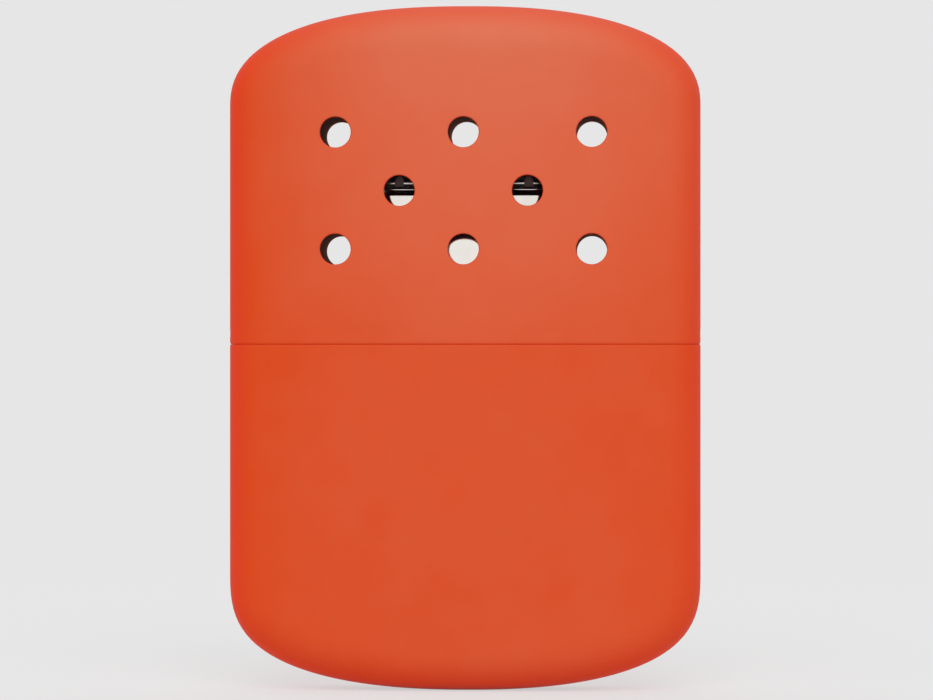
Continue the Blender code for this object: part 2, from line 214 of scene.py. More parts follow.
def powder_coat():
    """Orange powder coat on steel: matte, with a fine orange peel about 0.5 mm across.

    The coat is deeper and more saturated on its turned edges, more on the left than the right:
    painted shading. It is paler towards the crown and the middle: a painted sheen.
    """
    made, tree, surface = new_material("powder_coat_orange")
    place = add(tree, "ShaderNodeTexCoord").outputs["Object"]
    turn = add(tree, "ShaderNodeAttribute", attribute_name="painted_edge_shade").outputs["Fac"]
    # Clouds about 11 mm across
    cloud = add(
        tree,
        "ShaderNodeTexNoise",
        {"Vector": place, "Scale": 90.0, "Detail": 5.0, "Roughness": 0.6},
    )
    peel = add(tree, "ShaderNodeTexNoise", {"Vector": place, "Scale": 2200.0, "Detail": 2.0})
    parts = add(tree, "ShaderNodeSeparateXYZ", {"Vector": place})
    # Painted sheen: the coat is paler towards the crown and, across, towards the middle
    height = add(tree, "ShaderNodeMath", {0: parts.outputs["Z"], 1: cad_high.z}, operation="DIVIDE")
    painted_sheen = add(tree, "ShaderNodeValToRGB", {"Fac": height.outputs[0]})
    ramp = painted_sheen.color_ramp
    seam_share = tank_high.z / cad_high.z
    for _ in SHEEN_STOPS[2:]:
        ramp.elements.new(seam_share)
    for element, (share, amount) in zip(ramp.elements, SHEEN_STOPS):
        element.position = seam_share + share
        element.color = (amount, amount, amount, 1.0)
    across = add(
        tree,
        "ShaderNodeMath",
        {0: parts.outputs["X"], 1: 1 / SHEEN_HALF_WIDTH, 2: -SHEEN_CENTRE / SHEEN_HALF_WIDTH},
        operation="MULTIPLY_ADD",
    ).outputs[0]
    across = add(tree, "ShaderNodeMath", {0: across, 1: across}, operation="MULTIPLY").outputs[0]
    across = add(
        tree,
        "ShaderNodeMath",
        {0: 1.0, 1: across},
        operation="SUBTRACT",
    ).outputs[0]
    painted_sheen = add(
        tree, "ShaderNodeMath", {0: painted_sheen.outputs["Color"], 1: across}, operation="MULTIPLY"
    ).outputs[0]
    drift = add(
        tree,
        "ShaderNodeMapRange",
        {"Value": cloud.outputs["Fac"], "To Min": -0.15, "To Max": 0.15},
    )
    painted_sheen = add(tree, "ShaderNodeMath", {0: painted_sheen, 1: drift.outputs["Result"]}).outputs[0]
    # D77255 is the colour of the painted sheen
    flat = add(
        tree,
        "ShaderNodeMix",
        {0: painted_sheen, 6: linear("#D3481B"), 7: linear("#D77255")},
        data_type="RGBA",
    )
    # Painted shading: a deeper, more saturated colour on the turned edges
    coat = add(
        tree,
        "ShaderNodeMix",
        {0: turn, 6: flat.outputs[2], 7: linear("#E63A12")},
        data_type="RGBA",
    )
    bump = add(
        tree,
        "ShaderNodeBump",
        {"Height": peel.outputs["Fac"], "Strength": 0.25, "Distance": 0.00002},
    )
    rough = add(
        tree,
        "ShaderNodeMapRange",
        {"Value": peel.outputs["Fac"], "To Min": 0.48, "To Max": 0.58},
    )
    shader = add(
        tree,
        "ShaderNodeBsdfPrincipled",
        {
            "Base Color": coat.outputs[2],
            "Roughness": rough.outputs["Result"],
            "Normal": bump.outputs["Normal"],
            "Specular IOR Level": 0.10,
        },
    )
    tree.links.new(shader.outputs["BSDF"], surface)
    return made


def bounce_tinted_tinplate():
    """Drawn tinplate inside the case: dull, mottled over 3 mm, and tinted warm brown as painted
    bounce light from the orange coat.
    """
    made, tree, surface = new_material("bounce_tinted_tinplate")
    place = add(tree, "ShaderNodeTexCoord").outputs["Object"]
    mottle = add(tree, "ShaderNodeTexNoise", {"Vector": place, "Scale": 300.0, "Detail": 3.0})
    rough = add(
        tree,
        "ShaderNodeMapRange",
        {"Value": mottle.outputs["Fac"], "To Min": 0.35, "To Max": 0.55},
    )
    shader = add(
        tree,
        "ShaderNodeBsdfPrincipled",
        {
            # Warm brown: painted bounce light from the orange walls
            "Base Color": linear("#A8766C"),
            "Metallic": 1.0,
            "Roughness": rough.outputs["Result"],
        },
    )
    tree.links.new(shader.outputs["BSDF"], surface)
    return made


def bright_nickel():
    """Bright nickel plate on drawn sheet: it mirrors its surroundings and is slightly warm.

    Faint upright draw lines 0.25 mm apart and smudges of tarnish about 6 mm across soften it.
    """
    made, tree, surface = new_material("bright_nickel")
    place = add(tree, "ShaderNodeTexCoord").outputs["Object"]
    stretched = add(tree, "ShaderNodeMapping", {"Vector": place, "Scale": (4000.0, 4000.0, 60.0)})
    lines = add(tree, "ShaderNodeTexNoise", {"Vector": stretched.outputs["Vector"], "Scale": 1.0})
    smudge = add(tree, "ShaderNodeTexNoise", {"Vector": place, "Scale": 160.0, "Detail": 3.0})
    tarnish = add(
        tree,
        "ShaderNodeMix",
        {0: smudge.outputs["Fac"], 6: linear("#F0EDE8"), 7: linear("#DAD5CC")},
        data_type="RGBA",
    )
    rough = add(
        tree,
        "ShaderNodeMapRange",
        {"Value": smudge.outputs["Fac"], "To Min": 0.05, "To Max": 0.18},
    )
    bump = add(
        tree,
        "ShaderNodeBump",
        {"Height": lines.outputs["Fac"], "Strength": 0.06, "Distance": 0.00001},
    )
    shader = add(
        tree,
        "ShaderNodeBsdfPrincipled",
        {
            "Base Color": tarnish.outputs[2],
            "Metallic": 1.0,
            "Roughness": rough.outputs["Result"],
            "Normal": bump.outputs["Normal"],
        },
    )
    tree.links.new(shader.outputs["BSDF"], surface)
    return made


def heat_tinted_steel():
    """Stainless cage over the catalyst: satin, straw-tinted in patches about 5 mm across.

    Its posts and cap are near black, a painted shade, where a face attribute marks them.
    """
    made, tree, surface = new_material("heat_tinted_steel")
    place = add(tree, "ShaderNodeTexCoord").outputs["Object"]
    painted_shade = add(tree, "ShaderNodeAttribute", attribute_name="painted_shade_mark").outputs["Fac"]
    patch = add(tree, "ShaderNodeTexNoise", {"Vector": place, "Scale": 220.0, "Detail": 3.0})
    tint = add(tree, "ShaderNodeValToRGB", {"Fac": patch.outputs["Fac"]})
    tint.color_ramp.elements[0].position = 0.35
    tint.color_ramp.elements[0].color = linear("#D9D6D0")
    tint.color_ramp.elements[1].position = 0.75
    tint.color_ramp.elements[1].color = linear("#BFB3A2")
    # Painted shade: the posts and cap go near black
    tint_and_shade = add(
        tree,
        "ShaderNodeMix",
        {0: painted_shade, 6: tint.outputs["Color"], 7: linear("#3E3230")},
        data_type="RGBA",
    )
    shader = add(
        tree,
        "ShaderNodeBsdfPrincipled",
        {"Base Color": tint_and_shade.outputs[2], "Metallic": 1.0, "Roughness": 0.28},
    )
    tree.links.new(shader.outputs["BSDF"], surface)
    return made


def catalyst_fibre():
    """Platinum-loaded glass fibre: dark grey felted strands 0.5 mm across with paler flecks."""
    made, tree, surface = new_material("catalyst_fibre")
    place = add(tree, "ShaderNodeTexCoord").outputs["Object"]
    strands = add(
        tree,
        "ShaderNodeTexNoise",
        {"Vector": place, "Scale": 1800.0, "Detail": 4.0, "Distortion": 1.5},
    )
    shade = add(tree, "ShaderNodeValToRGB", {"Fac": strands.outputs["Fac"]})
    shade.color_ramp.elements[0].position = 0.40
    shade.color_ramp.elements[0].color = linear("#2C2524")
    shade.color_ramp.elements[1].position = 0.75
    shade.color_ramp.elements[1].color = linear("#7C706C")
    bump = add(
        tree,
        "ShaderNodeBump",
        {"Height": strands.outputs["Fac"], "Strength": 0.8, "Distance": 0.0002},
    )
    shader = add(
        tree,
        "ShaderNodeBsdfPrincipled",
        {
            "Base Color": shade.outputs["Color"],
            "Roughness": 0.95,
            "Normal": bump.outputs["Normal"],
            "Specular IOR Level": 0.2,
        },
    )
    tree.links.new(shader.outputs["BSDF"], surface)
    return made


def cotton(name, low, high, scale, depth):
    """Cotton or felt: soft off-white fibres, each tuft about 1000 / scale mm across."""
    made, tree, surface = new_material(name)
    place = add(tree, "ShaderNodeTexCoord").outputs["Object"]
    fibres = add(
        tree,
        "ShaderNodeTexNoise",
        {"Vector": place, "Scale": scale, "Detail": 5.0, "Distortion": 2.0},
    )
    shade = add(tree, "ShaderNodeValToRGB", {"Fac": fibres.outputs["Fac"]})
    shade.color_ramp.elements[0].position = 0.30
    shade.color_ramp.elements[0].color = linear(low)
    shade.color_ramp.elements[1].position = 0.65
    shade.color_ramp.elements[1].color = linear(high)
    bump = add(
        tree,
        "ShaderNodeBump",
        {"Height": fibres.outputs["Fac"], "Strength": 0.7, "Distance": depth},
    )
    shader = add(
        tree,
        "ShaderNodeBsdfPrincipled",
        {
            "Base Color": shade.outputs["Color"],
            "Roughness": 1.0,
            "Normal": bump.outputs["Normal"],
            "Specular IOR Level": 0.1,
            "Sheen Weight": 0.3,
        },
    )
    tree.links.new(shader.outputs["BSDF"], surface)
    return made


def quads(rows, columns, wrap_rows, wrap_columns):
    """Corner numbers of the quads between the points of a grid, by row and column."""
    index = np.arange(rows * columns).reshape(rows, columns)
    if wrap_rows:
        index = np.vstack([index, index[:1]])
    if wrap_columns:
        index = np.hstack([index, index[:, :1]])
    return np.stack([index[:-1, :-1], index[:-1, 1:], index[1:, 1:], index[1:, :-1]], axis=-1)


def grid(points, wrap_rows=False, wrap_columns=False, inner_from=None, keep=None):
    """A grid of points for mesh_piece. Quads from row inner_from on take the second material.

    keep, where given, says which quads are there, from their middles (rows, columns, 3).
    """
    rows, columns, _ = points.shape
    corners = quads(rows, columns, wrap_rows, wrap_columns)
    inner = np.zeros(corners.shape[:2], dtype=int)
    if inner_from is not None:
        inner[inner_from:] = 1
    flat_points = points.reshape(-1, 3)
    kept = np.ones(corners.shape[:2], dtype=bool)
    if keep is not None:
        kept = keep(flat_points[corners].mean(axis=2))
    return flat_points, corners[kept], inner[kept]


def mesh_piece(name, grids, materials):
    """One mesh from grids of points that meet edge to edge, merged, facing out and smooth."""
    vertices = np.concatenate([points for points, _, _ in grids])
    starts = np.cumsum([0] + [len(points) for points, _, _ in grids[:-1]])
    faces = np.concatenate([corners + start for (_, corners, _), start in zip(grids, starts)])
    mesh = bpy.data.meshes.new(name)
    mesh.from_pydata(vertices.tolist(), [], faces.tolist())
    mesh.polygons.foreach_set("material_index", np.concatenate([inner for _, _, inner in grids]))
    for piece_material in materials:
        mesh.materials.append(piece_material)
    work = bmesh.new()
    work.from_mesh(mesh)
    bmesh.ops.remove_doubles(work, verts=work.verts, dist=MERGE_DISTANCE)
    bmesh.ops.recalc_face_normals(work, faces=work.faces)
    work.to_mesh(mesh)
    work.free()
    mesh.shade_smooth()
    mesh.set_sharp_from_angle(angle=math.radians(SHARP_ANGLE))
    piece = bpy.data.objects.new(name, mesh)
    bpy.context.scene.collection.objects.link(piece)
    return piece


def dress(piece, body, node):
    """Hang the piece on its body and hide its CAD node."""
    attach(piece, body)
    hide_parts(node)


def store_painted_edge_shade(piece):
    """Store how far each point's surface has turned from the front or back, for the painted shading
    of the turned edges.

    The value is the squared sine of the turn to the left or right, plus that of the turn up or
    down, each times its side's share.
    """
    mesh = piece.data
    normals = np.zeros(len(mesh.vertices) * 3, dtype=np.float32)
    mesh.vertices.foreach_get("normal", normals)
    normals = normals.reshape(-1, 3)
    upright = np.where(normals[:, 2] > 0, UP_SHADE_SHARE, DOWN_SHADE_SHARE)
    sideways = np.where(normals[:, 0] > 0, RIGHT_SHADE_SHARE, LEFT_SHADE_SHARE)
    turn = sideways * normals[:, 0] ** 2 + upright * normals[:, 2] ** 2
    attribute = mesh.attributes.new("painted_edge_shade", "FLOAT", "POINT")
    attribute.data.foreach_set("value", turn)


def section(core_x, core_y, front, corner):
    """Level outline with round corners, as core points and unit normals, from the front's left.

    The front has the given x places, each corner turns through the given angles (from -90 to 0
    degrees, in radians) round a corner of the core rectangle, and the back mirrors the front.
    A point of the outline is core + normal * radius.
    """
    turns = np.concatenate([corner, -corner[::-1]])
    sides = np.repeat([-core_y, core_y], len(corner))
    ahead = np.zeros_like(front)
    core = np.column_stack(
        [np.append(front, np.full(len(turns), core_x)), np.append(ahead - core_y, sides)]
    )
    normal = np.column_stack([np.append(ahead, np.cos(turns)), np.append(ahead - 1, np.sin(turns))])
    return np.vstack([core, -core]), np.vstack([normal, -normal])


def sweep(outline, radii, heights):
    """Level rings of the outline, one for each radius and height: (rings, points, 3)."""
    core, normal = outline
    level = core[None] + normal[None] * np.asarray(radii)[:, None, None]
    upright = np.broadcast_to(np.asarray(heights)[:, None, None], (*level.shape[:2], 1))
    return np.concatenate([level, upright], axis=2)


def arc(centre_radius, centre_height, radius, start, end, steps):
    """Part of a circle in a profile, as (radii, heights), between two angles in degrees."""
    turn = np.radians(np.linspace(start, end, steps + 1))
    return centre_radius + radius * np.cos(turn), centre_height + radius * np.sin(turn)


def profile(*parts):
    """Join profile points and arcs into one pair of arrays (radii, heights)."""
    radii = np.concatenate([np.atleast_1d(part[0]) for part in parts])
    heights = np.concatenate([np.atleast_1d(part[1]) for part in parts])
    return radii, heights


def crown_path(apex, sense, height, powers, join):
    """Front outline from the left join over the apex to the right join: (points, normals).

    The end is a super-ellipse, x = a sin(t)^(2/p) and z = h cos(t)^(2/q), with straight sides
    below it. Points are spaced evenly along it, TOP_STEPS between the places where it faces 45
    degrees and SIDE_STEPS from each of those to the join. The normal is the gradient of
    (x/a)^p + (z/h)^q. sense is 1 for the lid and -1 for the tank, whose apex is at the bottom.
    """
    across, down = powers
    turn = np.linspace(0, math.pi / 2, 4001)

    def on_crown(t):
        x = HALF_WIDTH * np.sin(t) ** (2 / across)
        z = height * np.abs(np.cos(t)) ** (2 / down)
        slope_x = across / HALF_WIDTH * (x / HALF_WIDTH) ** (across - 1)
        slope_z = down / height * (z / height) ** (down - 1)
        size = np.hypot(slope_x, slope_z)
        return x, z, slope_x / size, slope_z / size

    x, z, normal_x, normal_z = on_crown(turn)
    along = np.append(0, np.cumsum(np.hypot(np.diff(x), np.diff(z))))
    split = along[np.argmax(normal_x >= normal_z)]
    total = along[-1] + abs(join - (apex - sense * height))
    wanted = np.append(
        np.linspace(0, split, TOP_STEPS // 2 + 1), np.linspace(split, total, SIDE_STEPS + 1)[1:]
    )
    x, z, normal_x, normal_z = on_crown(np.interp(wanted, along, turn))
    z = z - np.maximum(wanted - along[-1], 0)
    right = np.column_stack([x, apex - sense * (height - z)])
    right_normal = np.column_stack([normal_x, sense * normal_z])
    mirror = np.array([-1.0, 1.0])
    points = np.vstack([right[:0:-1] * mirror, right])
    normals = np.vstack([right_normal[:0:-1] * mirror, right_normal])
    return points, normals


def edge_grid(path, inset):
    """Rounded edge of the case along its outline, from the front face's edge to the back's.

    Each cross profile is a quarter circle of the edge radius, less the inset, the flat side, and
    a quarter circle again, carried along the outline on its normal.
    """
    points, normals = path
    turn = np.linspace(0, math.pi / 2, EDGE_STEPS + 1)
    radius = EDGE_RADIUS - inset
    out = radius * np.sin(turn) - EDGE_RADIUS
    y = -(HALF_DEPTH - EDGE_RADIUS) - radius * np.cos(turn)
    out, y = np.append(out, out[::-1]), np.append(y, -y[::-1])
    x = points[:, :1] + normals[:, :1] * out
    z = points[:, 1:] + normals[:, 1:] * out
    return np.stack([x, np.broadcast_to(y, x.shape), z], axis=-1)


def at_depth(flat_points, y):
    """Points (..., 2) in X and Z, placed at a depth Y."""
    return np.insert(flat_points, 1, y, axis=-1)


def rectangle_loop(half_x, near, far):
    """Loop round the face's middle block: up the left side, over the far end, down and back."""
    side = np.linspace(near, far, SIDE_STEPS + 1)
    end = np.linspace(-half_x, half_x, TOP_STEPS + 1)
    left = np.column_stack([np.full_like(side, -half_x), side])
    over = np.column_stack([end, np.full_like(end, far)])
    right = np.column_stack([np.full_like(side, half_x), side[::-1]])
    back = np.column_stack([end[::-1], np.full_like(end, near)])
    return np.vstack([left, over[1:], right[1:], back[1:-1]])


def face_loft(path, join, block_loop):
    """Flat face between its outer edge and its middle block: straight lines between two loops."""
    points, normals = path
    edge = points - normals * EDGE_RADIUS
    line_x = np.linspace(edge[-1, 0], edge[0, 0], TOP_STEPS + 1)[1:-1]
    line = np.column_stack([line_x, np.full_like(line_x, join)])
    outer = np.vstack([edge, line])
    share = np.linspace(0, 1, LOFT_STEPS + 1)[:, None, None]
    return outer * (1 - share) + block_loop * share


def plain_block(x_places, z_places):
    """Flat rectangular grid in X and Z."""
    x, z = np.meshgrid(x_places, z_places)
    return np.stack([x, z], axis=-1)


def vent_cell(centre_x, centre_z):
    """Rectangle of the face with a vent hole in it, through the wall: (rings, points, 3).

    Rings blend from the rectangle to the circle, turn over the lip, run through the wall and
    blend back to the rectangle on the inside. The circle's points are evenly spaced.
    """
    half_x = VENT_COLUMN_PITCH / 2
    half_z = VENT_ROW_PITCH / 2
    long_side = np.linspace(-half_x, half_x, 2 * CELL_STEPS + 1)[:-1]
    short_side = np.linspace(-half_z, half_z, CELL_STEPS + 1)[:-1]
    low = np.column_stack([long_side, np.full_like(long_side, -half_z)])
    right = np.column_stack([np.full_like(short_side, half_x), short_side])
    rectangle = np.vstack([low, right, -low, -right])
    turn = np.radians(210) + np.linspace(0, 2 * math.pi, len(rectangle), endpoint=False)
    circle = np.column_stack([np.cos(turn), np.sin(turn)])
    blend = np.linspace(1, 0, BLEND_STEPS + 1)[:, None, None] ** BLEND_POWER
    lip = np.radians(np.linspace(0, 90, 5))[1:]
    burr = np.radians(np.linspace(90, 0, 3))
    outer_circle = circle * (VENT_RADIUS + VENT_LIP)
    inner_circle = circle * (VENT_RADIUS + VENT_BURR)
    front = rectangle * blend + outer_circle * (1 - blend)
    back = (rectangle * blend + inner_circle * (1 - blend))[::-1]
    lip_rings = circle * (VENT_RADIUS + VENT_LIP * (1 - np.sin(lip)))[:, None, None]
    burr_rings = circle * (VENT_RADIUS + VENT_BURR * (1 - np.sin(burr)))[:, None, None]
    depth = np.concatenate(
        [
            np.zeros(len(front)),
            VENT_LIP * (1 - np.cos(lip)),
            CASE_WALL - VENT_BURR * (1 - np.cos(burr)),
            np.full(len(back) - 1, CASE_WALL),
        ]
    )
    rings = np.concatenate([front, lip_rings, burr_rings, back[1:]]) + (centre_x, centre_z)
    y = np.broadcast_to((depth - HALF_DEPTH)[:, None], rings.shape[:2])
    painted = len(front) + len(lip) + len(burr) - 1
    return np.stack([rings[..., 0], y, rings[..., 1]], axis=-1), painted


def vent_block():
    """Grids of the lid face's middle block: eight vent cells and two plain half cells."""
    grids = []
    for row, columns in enumerate((3, 2, 3)):
        centre_z = VENT_TOP_ROW - row * VENT_ROW_PITCH
        for column in range(columns):
            centre_x = (column - (columns - 1) / 2) * VENT_COLUMN_PITCH
            points, inner_from = vent_cell(centre_x, centre_z)
            grids.append((points, True, inner_from))
    z_places = VENT_TOP_ROW - VENT_ROW_PITCH * np.linspace(0.5, 1.5, CELL_STEPS + 1)
    x_places = np.linspace(VENT_COLUMN_PITCH, 1.5 * VENT_COLUMN_PITCH, CELL_STEPS + 1)
    for places in (x_places, -x_places[::-1]):
        patch = plain_block(places, z_places)
        grids.append((at_depth(patch, -HALF_DEPTH), False, None))
        grids.append((at_depth(patch, CASE_WALL - HALF_DEPTH), False, 0))
    return grids


def rim_profile(rim, swage, lip):
    """Insets of the rim's profile and its distances from the seam, from outside to inside.

    A faint swage, the rounded rim as a quarter of an ellipse, the sheet's edge, a low lip where
    there is one, and the inner face. The rim reaches past the solid's end, so that only a crevice
    is left at the seam.
    """
    end = -(SEAM_GAP - SEAM_CREVICE) / 2
    turn = np.radians(np.linspace(0, 90, 7))
    burr = np.radians(np.linspace(0, 90, 3))
    outside = [
        ([0, 0, 0, swage, swage, swage / 4], [SEAM_BAND, *SWAGE_PLACES]),
        (rim[0] * (1 - np.cos(turn)), end + rim[1] * (1 - np.sin(turn))),
    ]
    edge = [(CASE_WALL - RIM_BURR * (1 - np.sin(burr)), end + RIM_BURR * (1 - np.cos(burr)))]
    if lip:
        outer, inner = TANK_LIP_INSETS
        half = (inner - outer) / 2
        curve = np.radians(np.linspace(180, 0, 7))
        rise = -TANK_LIP_RISE - half * np.sin(curve)
        edge = [
            ([outer], [end]),
            (outer + half + half * np.cos(curve), rise),
            ([inner, CASE_WALL], [PAINT_REACH / 2, PAINT_REACH * 0.8]),
        ]
    inside = [([CASE_WALL, CASE_WALL, CASE_WALL], [PAINT_REACH, SWAGE_PLACES[0], SEAM_BAND])]
    return profile(*outside, *edge, *inside)


def rim_band(seam, sense, rim):
    """Level band of the case next to the seam: its outline drawn in by each inset of the rim."""
    inset, away = rim
    front = np.linspace(EDGE_RADIUS - HALF_WIDTH, HALF_WIDTH - EDGE_RADIUS, TOP_STEPS + 1)[1:-1]
    corner = np.linspace(-math.pi / 2, 0, EDGE_STEPS + 1)
    outline = section(HALF_WIDTH - EDGE_RADIUS, HALF_DEPTH - EDGE_RADIUS, front, corner)
    return sweep(outline, EDGE_RADIUS - inset, seam + sense * away), len(inset) - 3


def case_half(name, apex, seam, height, powers, block_loop, block_grids, rim, finish):
    """Lid or tank: edge, faces and seam band, outside and inside, as one sheet-metal shell."""
    sense = 1 if apex > seam else -1
    join = seam + sense * SEAM_BAND
    path = crown_path(apex, sense, height, powers, join)
    band, inner_row = rim_band(seam, sense, rim)
    grids = [grid(band, wrap_columns=True, inner_from=inner_row)]
    loft = face_loft(path, join, block_loop)
    for inset, inner_from in ((0.0, None), (CASE_WALL, 0)):
        grids.append(grid(edge_grid(path, inset), inner_from=inner_from))
        for side in (-1, 1):
            face = at_depth(loft, side * (HALF_DEPTH - inset))
            grids.append(grid(face, wrap_columns=True, inner_from=inner_from))
    for side in (1, -1):
        for points, wrap, inner_from in block_grids:
            turned = points * (1, side, 1)
            grids.append(grid(turned, wrap_columns=wrap, inner_from=inner_from))
    piece = mesh_piece(name, grids, finish)
    store_painted_edge_shade(piece)
    return piece


def make_lid(finish):
    """Lid: the upper half of the case, with its vent holes."""
    near = VENT_TOP_ROW - 2.5 * VENT_ROW_PITCH
    far = VENT_TOP_ROW + 0.5 * VENT_ROW_PITCH
    loop = rectangle_loop(1.5 * VENT_COLUMN_PITCH, near, far)
    piece = case_half(
        "lid",
        lid_high.z,
        lid_low.z,
        CROWN_HEIGHT,
        CROWN_POWERS,
        loop,
        vent_block(),
        rim_profile(LID_RIM, RIM_SWAGE, False),
        finish,
    )
    dress(piece, "lid", "lid_shell")


def make_tank(finish):
    """Tank: the lower half of the case, plain."""
    loop = rectangle_loop(TANK_BLOCK_HALF, TANK_BLOCK_TOP, TANK_BLOCK_BOTTOM)
    patch = plain_block(
        np.linspace(-TANK_BLOCK_HALF, TANK_BLOCK_HALF, TOP_STEPS + 1),
        np.linspace(TANK_BLOCK_TOP, TANK_BLOCK_BOTTOM, SIDE_STEPS + 1),
    )
    blocks = [
        (at_depth(patch, -HALF_DEPTH), False, None),
        (at_depth(patch, CASE_WALL - HALF_DEPTH), False, 0),
    ]
    piece = case_half(
        "tank",
        tank_low.z,
        tank_high.z,
        BOWL_HEIGHT,
        BOWL_POWERS,
        loop,
        blocks,
        rim_profile(TANK_RIM, 0.0, True),
        finish,
    )
    dress(piece, "tank", "tank_shell")


def burner_outline(corner=None):
    """Level outline of the burner and the neck: straight sides and round ends, radius to add."""
    core_x = skirt_high.x - skirt_high.y
    breaks = [0.0, CAGE_BRIDGE_HALF, CAGE_POST_INNER, CAGE_SLOT_END, core_x]
    half = np.concatenate(
        [np.linspace(a, b, n + 1)[1:] for a, b, n in zip(breaks, breaks[1:], (1, 8, 1, 1))]
    )
    front = np.concatenate([-half[-2::-1], [0.0], half[:-1]])
    if corner is None:
        end_post = math.asin(CAGE_END_POST_HALF / cage_high.y)
        corner = np.append(
            np.linspace(-math.pi / 2, -end_post, 12), np.linspace(-end_post, 0, 3)[1:]
        )
    return section(core_x, 0.0, front, corner)


def make_cup(finish):
    """Closure cup: a sleeve with a rounded shoulder, and a rounded hole for the neck."""
    hole_outline = burner_outline()
    count = len(hole_outline[0]) // 2
    corner = np.linspace(-math.pi / 2, 0, 9)
    front_count = count - 2 * len(corner)
    core_x = HALF_WIDTH - EDGE_RADIUS
    front = np.linspace(-core_x, core_x, front_count + 2)[1:-1]
    outline = section(core_x, HALF_DEPTH - EDGE_RADIUS, front, corner)
    side = EDGE_RADIUS - (HALF_WIDTH - cup_high.x)
    top = cup_high.z
    inner = side - CUP_WALL
    hole = skirt_high.y - SKIRT_WALL
    round_centre = side - CUP_SHOULDER_RADIUS
    round_height = top - CUP_SHOULDER_RADIUS
    lip = CUP_WALL / 2
    outer_rings = sweep(
        outline,
        *profile(
            (side - CUP_EDGE_BREAK, cup_low.z),
            (side, cup_low.z + CUP_EDGE_BREAK),
            (side, top - CUP_SIDE_ROW),
            arc(round_centre, round_height, CUP_SHOULDER_RADIUS, 0, 90, 10),
        ),
    )
    hole_rings = sweep(
        hole_outline,
        *profile(arc(hole + lip, top - lip, lip, 90, 270, 8)),
    )
    inner_rings = sweep(
        outline,
        *profile(
            arc(round_centre, round_height, CUP_SHOULDER_RADIUS - CUP_WALL, 90, 0, 8),
            (inner, cup_low.z),
        ),
    )
    rings = np.concatenate([outer_rings, hole_rings, inner_rings])
    piece = mesh_piece("cup", [grid(rings, wrap_rows=True, wrap_columns=True)], [finish])
    dress(piece, "tank", "closure_cup")


def make_neck(finish):
    """Filler neck: an oblong tube with a rolled mouth, and its flange below the shoulder."""
    outer = skirt_high.y - SKIRT_WALL - FIT_CLEARANCE
    inner = outer - NECK_WALL
    flange = neck_high.y
    flange_top = neck_low.z + NECK_FLANGE_THICKNESS
    top = neck_high.z
    mouth = NECK_WALL / 2
    rings = sweep(
        burner_outline(),
        *profile(
            (flange, neck_low.z),
            (flange, flange_top),
            (outer + NECK_FILLET, flange_top),
            (outer, flange_top + NECK_FILLET),
            (outer, top - NECK_SIDE_ROW),
            arc(outer - mouth, top - mouth, mouth, 0, 180, 10),
            (inner, top - NECK_SIDE_ROW),
            (inner, neck_low.z),
        ),
    )
    piece = mesh_piece("neck", [grid(rings, wrap_rows=True, wrap_columns=True)], [finish])
    dress(piece, "tank", "filler_neck")


def skirt_radius(height):
    """Radius of the skirt's outside: r - waist * exp(-((z - z0) / reach)^2), a shallow waist."""
    return skirt_high.y - SKIRT_WAIST * np.exp(-(((height - WAIST_HEIGHT) / WAIST_REACH) ** 2))


def make_skirt(finish):
    """Burner skirt: a waisted band whose top leans in to a fine bead and turns down to a lip."""
    outer, top = skirt_high.y, skirt_high.z
    half = SKIRT_WALL / 2
    lean = math.radians(SHOULDER_LEAN)
    shoulder = top - SHOULDER_DROP
    bead_foot = top - BEAD_RISE
    slope_foot = outer - SHOULDER_ROUND * (1 - math.cos(lean))
    slope_low = shoulder + SHOULDER_ROUND * math.sin(lean)
    slope_run = (bead_foot - slope_low) * math.tan(lean)
    bead = slope_foot - slope_run
    heights = np.linspace(skirt_low.z + SKIRT_WALL, shoulder - SKIRT_WALL / 4, 36)
    lip = outer - SKIRT_WALL - SKIRT_LIP_WIDTH
    inner_round = SHOULDER_ROUND * 2
    rings = sweep(
        burner_outline(),
        *profile(
            arc(outer - half, skirt_low.z + half, half, 180, 360, 8),
            (skirt_radius(heights), heights),
            arc(outer - SHOULDER_ROUND, shoulder, SHOULDER_ROUND, 0, SHOULDER_LEAN, 5),
            (bead + slope_run / 30, bead_foot - BEAD_ROUND / 2),
            (bead, bead_foot + BEAD_ROUND / 2),
            arc(bead - BEAD_ROUND, top - BEAD_ROUND, BEAD_ROUND, 0, 90, 4),
            arc(lip + half, top - half, half, 90, 270, 8),
            arc(outer - SKIRT_WALL - inner_round, bead_foot - SKIRT_WALL, inner_round, 90, 0, 6),
            (skirt_radius(heights[::-1]) - SKIRT_WALL, heights[::-1]),
        ),
    )
    piece = mesh_piece("skirt", [grid(rings, wrap_rows=True, wrap_columns=True)], [finish])
    dress(piece, "burner", "burner_skirt")


def cage_keeps(middles):
    """Which quads of the cage are metal: not its windows, and not the two slots in its cap."""
    x, y, z = np.abs(middles[..., 0]), np.abs(middles[..., 1]), middles[..., 2]
    ring_low = cage_low.z + CAGE_RING_RISE
    ring_high = ring_low + CAGE_RING_WIDTH
    rim_low = cage_high.z - CAGE_RIM_WIDTH
    open_level = (z < ring_low) | ((z > ring_high) & (z < rim_low))
    core_x = skirt_high.x - skirt_high.y
    post = ((x > CAGE_POST_INNER) & (x < core_x)) | ((x > core_x) & (y < CAGE_END_POST_HALF))
    slot = (x > CAGE_BRIDGE_HALF) & (x < CAGE_SLOT_END) & (y < CAGE_SLOT_HALF)
    window = open_level & ~post
    cap_slot = (z > cage_high.z - CAGE_WALL) & slot
    return ~(window | cap_slot)


